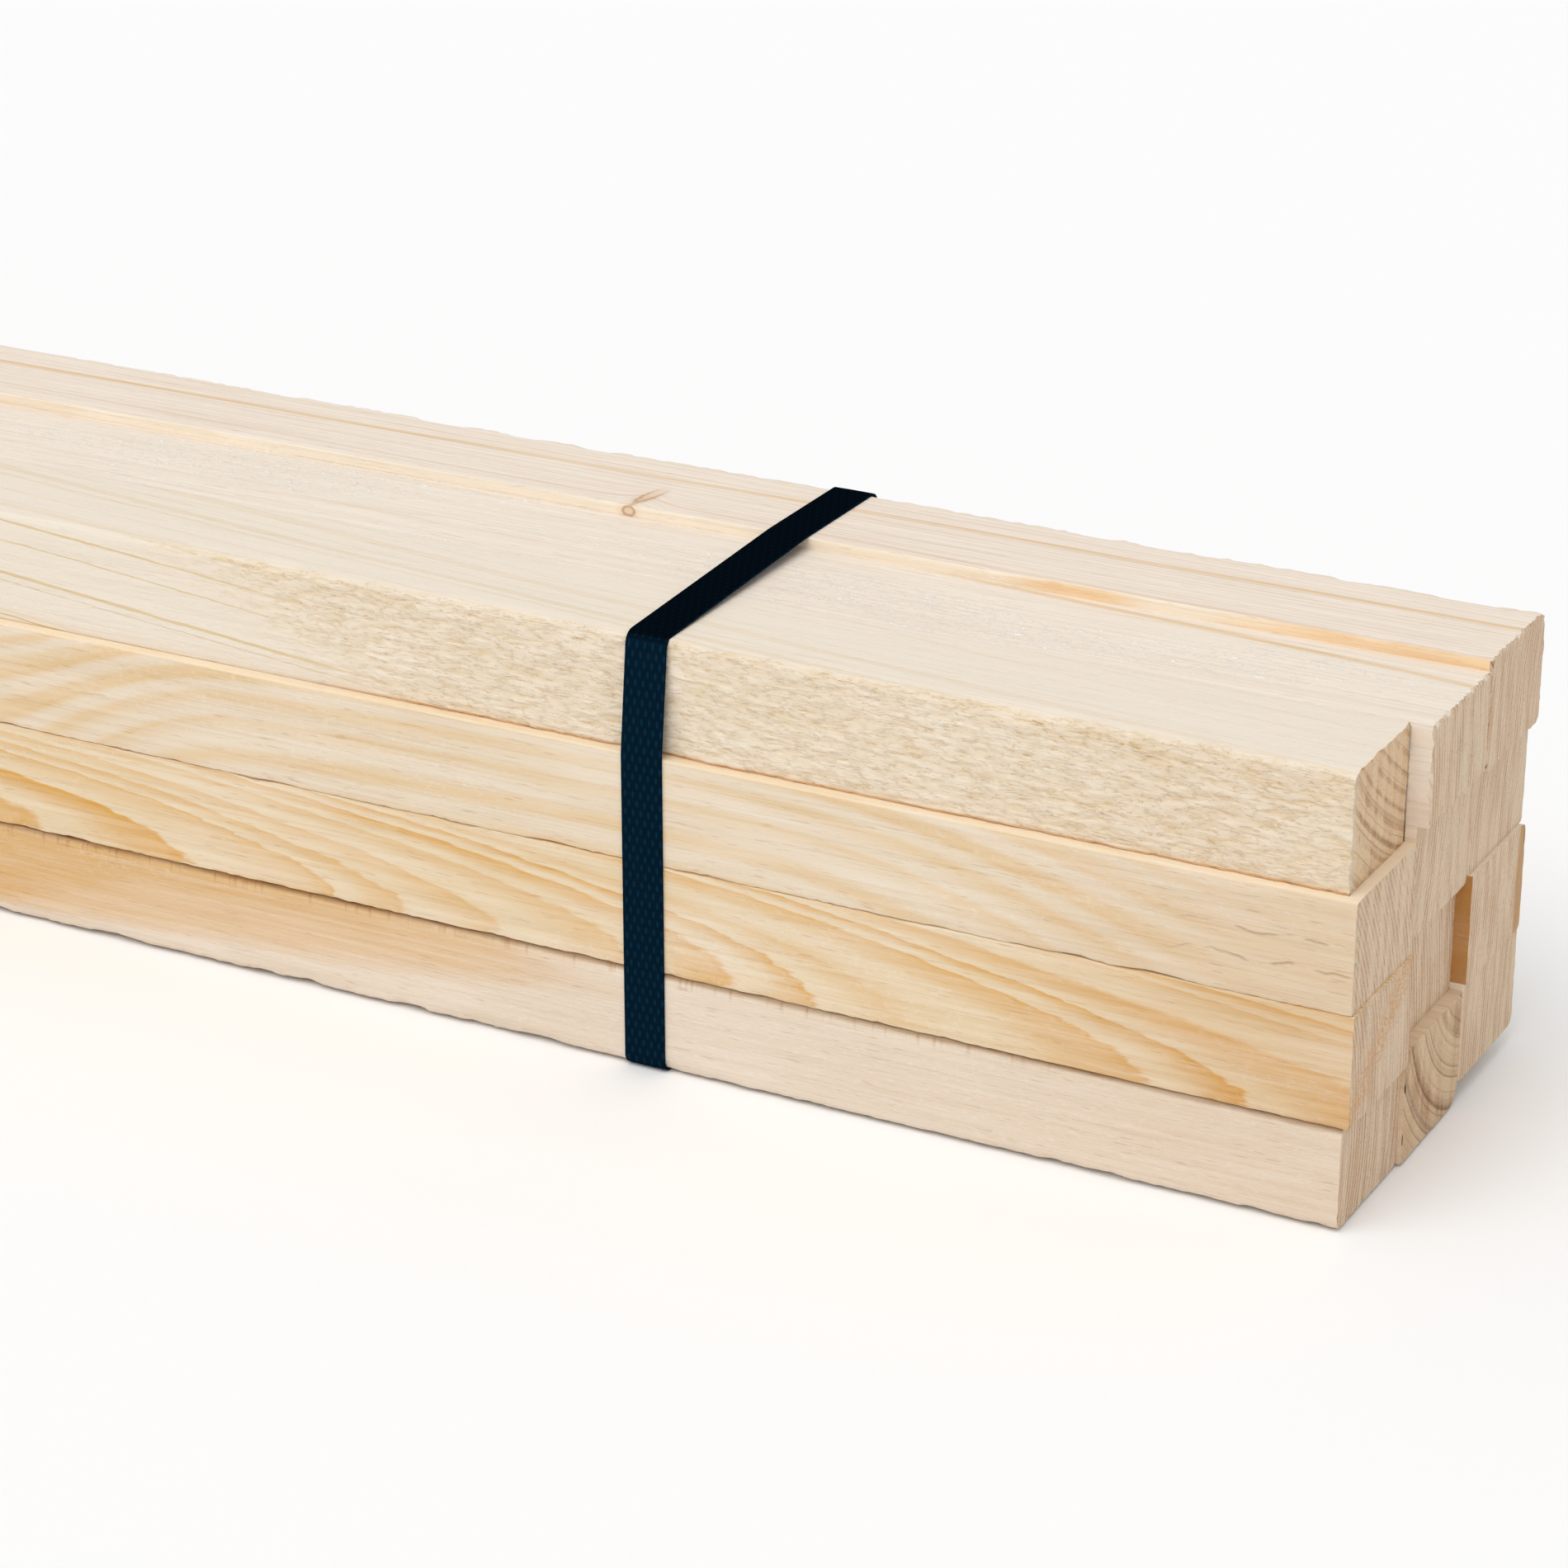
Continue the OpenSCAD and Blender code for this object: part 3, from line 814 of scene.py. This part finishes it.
lowerFront = {
    **plainStud, **shown, "node": "lower_front_stud", "seed": 3.4, "pith": (-147.0, 37.5), "wave": 18.0,
    "waveLength": 2000.0, "waveStart": -50.0, "spacing": 2.4, "warp": 1.5, "lateStart": 0.12,
    "rim": 0.25, "crisp": 0.90, "contrast": 1.15, "early": "e8d3b1", "late": "dca856", "tan": 0.4,
    "dust": 1.0, "dustY": -50.0, "dustZ": 60.0, "endRings": 0.45,
    "cellZ": 2.2, "edges": (0.6, 0.15, 0.15, 0.6), "wear": (0.7, 0.12, 0.12, 0.7),
}
finishStud(lowerFront)

bottomFront = {
    **plainStud, **shown, "node": "bottom_front_stud", "seed": 4.2, "pith": (-147.0, 29.0), "wave": 7.6,
    "waveLength": 2400.0, "waveStart": -250.0, "spacing": 3.0, "warp": 1.2, "contrast": 0.3,
    "fadeStart": 860.0, "fadeStop": 940.0, "early": "e9d8c4", "late": "dcb98c", "heart": "ddb37a",
    # painted shade in the seam under the lower front stud
    "heartRadius": 69.1, "heartBlur": 1.1, "heartAmount": 0.95, "tickZ": 36.0, "seamShadeZ": 36.4, "tan": 0.2,
    "nap": 0.34, "endRings": 0.7, "cellZ": 2.2,
    "edges": (3.0, 0.4, 0.15, 1.7), "wear": (1.0, 0.6, 0.12, 0.9), "sawRag": 0.6,
}
finishStud(bottomFront)

topMiddle = {
    **plainStud, **shown, "node": "top_middle_stud", "seed": 5.7, "pith": (-160.0, 120.0), "wave": 5.0,
    "spacing": 3.0, "lateStart": 0.6, "contrast": 0.32, "early": "f0e4d5", "late": "dfbb97", "frost": 1.0,
    "lineAndLightTint": "d8aa5a", "lineY": 19.4, "lineSlope": -0.081,
    "wear": (0.12, 0.12, 0.12, 0.15), "sawRag": 3.0,
}
finishStud(topMiddle)

upperMiddle = {
    **plainStud, "node": "upper_middle_stud", "seed": 6.1, "pith": (-120.0, 130.0), "endRings": 0.45,
}
finishStud(upperMiddle)

lowerMiddle = {
    **plainStud, "node": "lower_middle_stud", "seed": 7.9, "pith": (-190.0, 20.0), "endRings": 0.45,
}
finishStud(lowerMiddle)

bottomMiddle = {
    **plainStud, "node": "bottom_middle_stud", "seed": 8.4, "pith": (42.0, 64.0), "wave": 1.0,
    # the long faces are painted darker: painted shade on the ledge in the recess at the near end
    "spacing": 4.7, "warp": 1.0, "contrast": 0.5, "early": "e4ccae", "late": "cfad85",
    "endEarly": "e8cba6", "endLate": "8d6540", "endRings": 0.8, "endSpacing": 30.0,
    "edges": (0.4, 8.0, 0.15, 0.15),
}
finishStud(bottomMiddle)

topBack = {
    **plainStud, **shown, "node": "top_back_stud", "seed": 9.6, "pith": (215.0, 110.0), "wave": 5.0,
    "spacing": 2.3, "lateStart": 0.55, "contrast": 0.65, "early": "efe2d3", "late": "d3a676",
    # the step face is painted pale: a painted highlight
    "frontLightShadeTint": "fdf0da", "frontLightShadeWarm": "fbd6a4", "frontLightShadeAmount": 0.85,
    "lineAndLightTint": "d8aa5a", "lineY": 56.3, "endRings": 0.75,
    "edges": (0.15, 3.0, 4.5, 0.6), "wear": (0.12, 0.8, 1.9, 0.6), "sawRag": 3.0,
    "knot": {"centre": (889.5, 25.2, 155.2), "axis": (0.17, 0.97, 0.17), "size": 1.6, "swirl": 4.5},
}
finishStud(topBack)

upperBack = {
    **plainStud, **shown, "node": "upper_back_stud", "seed": 10.2, "pith": (190.0, 80.0), "endRings": 0.5,
    "cellY": 3.0, "edges": (0.15, 1.6, 0.8, 0.15), "wear": (0.12, 1.0, 1.0, 0.12),
}
finishStud(upperBack)

lowerBack = {
    **plainStud, **shown, "node": "lower_back_stud", "seed": 11.5, "pith": (170.0, 40.0), "streaks": 0.2,
    # the face seen in the recess at the near end is painted brown: painted shade
    "frontLightShadeTint": "c8985a", "frontLightShadeWarm": "b98448", "frontLightShadeAmount": 1.0, "waneY": 70.0,
    "cellY": 3.0, "edges": (0.15, 1.6, 0.8, 0.15), "wear": (0.12, 1.0, 1.0, 0.12),
}
finishStud(lowerBack)

bottomBack = {
    **plainStud, **shown, "node": "bottom_back_stud", "seed": 12.8, "pith": (200.0, 10.0), "endRings": 0.5,
    "cellY": 3.0, "edges": (0.4, 3.5, 0.8, 0.15), "wear": (0.5, 1.2, 1.0, 0.12),
}
finishStud(bottomBack)


# Straps: a ribbon pulled round the bundle, its ends lapped and welded on the back

strapLook = {
    "slack": 0.1, "thickness": 0.8, "cornerRadius": 3.5, "lapLow": 60.9, "lapHigh": 92.9, "ramp": 6.0,
    "step": 1.4, "columns": 12, "crown": 0.06, "pitchAlong": 6.4, "pitchAcross": 2.9,
    # the dark colour is painted shade for the faces that look up
    "navy": "071a28", "sheenBlue": "0f3f5e", "dark": "04070b", "shadedTopBand": (0.45, 0.9), "shadedTopAmount": 0.85,
    # the raised diamonds are real relief; their lighter blue is a painted sheen
    "raised": (0.1, 0.8), "weaveSheenTone": 0.3, "weaveRise": 0.10,
    "scuff": "1a3a50", "scuffNoise": ((0.8, 0.25, 0.25), 4.0, 0.7), "scuffBand": (0.58, 0.8),
    "scuffAmount": 0.25, "scuffRise": 0.05, "roughness": 0.55, "scuffRoughness": 0.25, "gloss": 0.0,
    "smoothAngle": 35.0, "weldBite": 0.01, "rampTop": 0.8,
}


def strapPath(look):
    # front view: Y to the right and Z up, in millimetres
    def side(node, axis, top):
        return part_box(node)[top][axis] / mm
    front, back = side("upper_front_stud", 1, 0), side("top_back_stud", 1, 1)
    gap, radius = look["slack"], look["cornerRadius"]
    highBack, stepY = side("top_back_stud", 2, 1), side("top_back_stud", 1, 0)
    highFront, rowFront = side("top_front_stud", 2, 1), side("top_front_stud", 1, 0)
    bendZ, floorZ = side("upper_front_stud", 2, 1), side("bottom_front_stud", 2, 0)
    underY, lowBack = side("bottom_middle_stud", 1, 1), side("bottom_back_stud", 2, 0)

    def corner(y, z, start):
        return [(y + (radius + gap) * math.cos(math.radians(start + turn)),
                 z + (radius + gap) * math.sin(math.radians(start + turn))) for turn in range(0, 91, 10)]
    path = [(back + gap, look["lapLow"])]
    path += corner(back - radius, highBack - radius, 0)
    path += [(stepY, highBack + gap)]
    path += corner(rowFront + radius, highFront - radius, 90)
    path += [(front - gap, bendZ)]
    path += corner(front + radius, floorZ + radius, 180)
    path += [(underY, floorZ - gap)]
    path += corner(back - radius, lowBack + radius, 270)
    over = back + gap + look["thickness"] - look["weldBite"]
    path += [(back + gap, look["lapLow"] - look["ramp"]), (over, look["lapLow"] - look["rampTop"]),
             (over, look["lapHigh"])]
    return [Vector(point) for point in path]


def evenPoints(path, step):
    lengths = [0.0]
    for a, b in zip(path, path[1:]):
        lengths.append(lengths[-1] + (b - a).length)
    parts = round(lengths[-1] / step)
    points, leg = [], 0
    for i in range(parts + 1):
        want = lengths[-1] * i / parts
        while leg < len(path) - 2 and lengths[leg + 1] < want:
            leg += 1
        share = (want - lengths[leg]) / (lengths[leg + 1] - lengths[leg])
        points.append(path[leg].lerp(path[leg + 1], share))
    return points, lengths[-1]


def strapMaterial(look, length, width):
    material, tree, place, facing = newMaterial("strapNavy")
    woven = putNode(tree, "ShaderNodeUVMap", uv_map="UVMap")
    spread = splitVector(tree, vectorCalc(tree, "MULTIPLY", woven.outputs[0], (length, width, 1.0)))
    alongWave = calc(tree, "COSINE", times(tree, spread[0], 2 * math.pi / look["pitchAlong"]))
    acrossWave = calc(tree, "COSINE", times(tree, spread[1], 2 * math.pi / look["pitchAcross"]))
    raised = smoothStep(tree, times(tree, alongWave, acrossWave), *look["raised"])  # diamonds
    scuff = noiseAt(tree, place, *look["scuffNoise"])
    # the raised diamonds are painted lighter blue: a painted sheen on the real emboss
    colour = mixColour(tree, times(tree, raised, look["weaveSheenTone"]),
                       hexColour(look["navy"]), hexColour(look["sheenBlue"]))
    scuffMask = times(tree, smoothStep(tree, scuff, *look["scuffBand"]), look["scuffAmount"])
    colour = mixColour(tree, scuffMask, colour, hexColour(look["scuff"]))
    # painted shade: the faces of the strap that look up are painted near black
    topMask = smoothStep(tree, splitVector(tree, facing)[2], *look["shadedTopBand"])
    colour = mixColour(tree, times(tree, topMask, look["shadedTopAmount"]), colour, hexColour(look["dark"]))
    height = timesPlus(tree, raised, look["weaveRise"], times(tree, scuff, look["scuffRise"]))
    roughness = timesPlus(tree, scuff, look["scuffRoughness"], look["roughness"])
    finishSurface(tree, colour, roughness, height, look["gloss"])
    return material


def wrapStrap(node, look):
    low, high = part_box(node)
    width = (high.x - low.x) / mm
    points, length = evenPoints(strapPath(look), look["step"])
    bpy.ops.object.select_all(action="DESELECT")
    bpy.ops.mesh.primitive_grid_add(x_subdivisions=len(points) - 1, y_subdivisions=look["columns"], size=2.0)
    ribbon = bpy.context.active_object
    ribbon.name = node.replace("_strap", "Strap")
    for vert in ribbon.data.vertices:
        i = round((vert.co.x + 1) / 2 * (len(points) - 1))
        across = vert.co.y
        spot = points[i]
        ahead = points[min(i + 1, len(points) - 1)] - points[max(i - 1, 0)]
        outward = Vector((ahead.y, -ahead.x)).normalized()
        spot = spot + outward * look["crown"] * (1 - across * across)
        vert.co = Vector((low.x + (across + 1) / 2 * width * mm, spot.x * mm, spot.y * mm))
    bpy.ops.object.mode_set(mode="EDIT")
    bpy.ops.mesh.select_all(action="SELECT")
    bpy.ops.mesh.normals_make_consistent(inside=False)
    bpy.ops.object.mode_set(mode="OBJECT")
    thick = ribbon.modifiers.new("thickness", "SOLIDIFY")
    thick.thickness = (look["thickness"] - look["crown"]) * mm
    thick.offset = 1.0
    bpy.ops.object.modifier_apply(modifier="thickness")
    bpy.ops.object.shade_smooth_by_angle(angle=math.radians(look["smoothAngle"]))
    ribbon.data.materials.append(strapMaterial(look, length, width))
    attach(ribbon, "root")
    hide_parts(node)
    print(node, "wrapped:", round(length), "mm long,", len(ribbon.data.polygons), "faces")


wrapStrap("near_strap", strapLook)
wrapStrap("far_strap", strapLook)


# Floor, light and camera

stageLook = {"floorSize": 40.0, "floor": "fbfbfb", "floorRoughness": 0.9, "floorGloss": 0.1, "sky": 0.62,
             "sun": 1.4, "sunFrom": (-0.08, -0.48, 0.87), "sunAway": 3, "sunSoftness": 50.0}


def buildStage(look):
    bpy.ops.object.select_all(action="DESELECT")
    bpy.ops.mesh.primitive_plane_add(size=look["floorSize"], location=(0.0, 0.0, 0.0))
    floor = bpy.context.active_object
    floor.name = "floor"
    paint = bpy.data.materials.new("floorPaint")
    paint.use_nodes = True
    shader = paint.node_tree.nodes["Principled BSDF"]
    shader.inputs["Base Color"].default_value = hexColour(look["floor"])
    shader.inputs["Roughness"].default_value = look["floorRoughness"]
    shader.inputs["Specular IOR Level"].default_value = look["floorGloss"]
    floor.data.materials.append(paint)
    world = bpy.data.worlds.new("studio")
    world.use_nodes = True
    tree = world.node_tree
    tree.nodes.clear()
    rays = putNode(tree, "ShaderNodeLightPath")
    sky = putNode(tree, "ShaderNodeBackground")
    seen = calc(tree, "MAXIMUM", rays.outputs["Is Camera Ray"], rays.outputs["Is Glossy Ray"])
    seen = calc(tree, "MAXIMUM", seen, rays.outputs["Is Transmission Ray"])
    feed(tree, sky.inputs["Strength"], timesPlus(tree, seen, 1.0 - look["sky"], look["sky"]))
    output = putNode(tree, "ShaderNodeOutputWorld")
    feed(tree, output.inputs["Surface"], sky.outputs[0])
    sky.inputs["Color"].default_value = (1.0, 1.0, 1.0, 1.0)
    bpy.context.scene.world = world
    bpy.ops.object.light_add(type="SUN", location=Vector(look["sunFrom"]) * look["sunAway"])
    sun = bpy.context.active_object
    sun.name = "softSun"
    sun.data.energy = look["sun"]
    sun.data.angle = math.radians(look["sunSoftness"])
    sun.rotation_euler = Vector(look["sunFrom"]).to_track_quat("Z", "Y").to_euler()


cameraLook = {"place": (1.63333, -1.26488, 0.68301), "turn": 27.8975, "tilt": 22.9506, "lens": 104.6855,
              "sensor": 36.0, "clipEnd": 100.0}


def placeCamera(look):
    bpy.ops.object.camera_add(location=look["place"])
    camera = bpy.context.active_object
    camera.rotation_euler = (math.radians(90 - look["tilt"]), 0.0, math.radians(look["turn"]))
    camera.data.sensor_width = look["sensor"]
    camera.data.lens = look["lens"]
    camera.data.clip_end = look["clipEnd"]
    bpy.context.scene.camera = camera


buildStage(stageLook)
placeCamera(cameraLook)
bpy.context.scene.view_settings.view_transform = "Standard"
print("stage and camera placed")
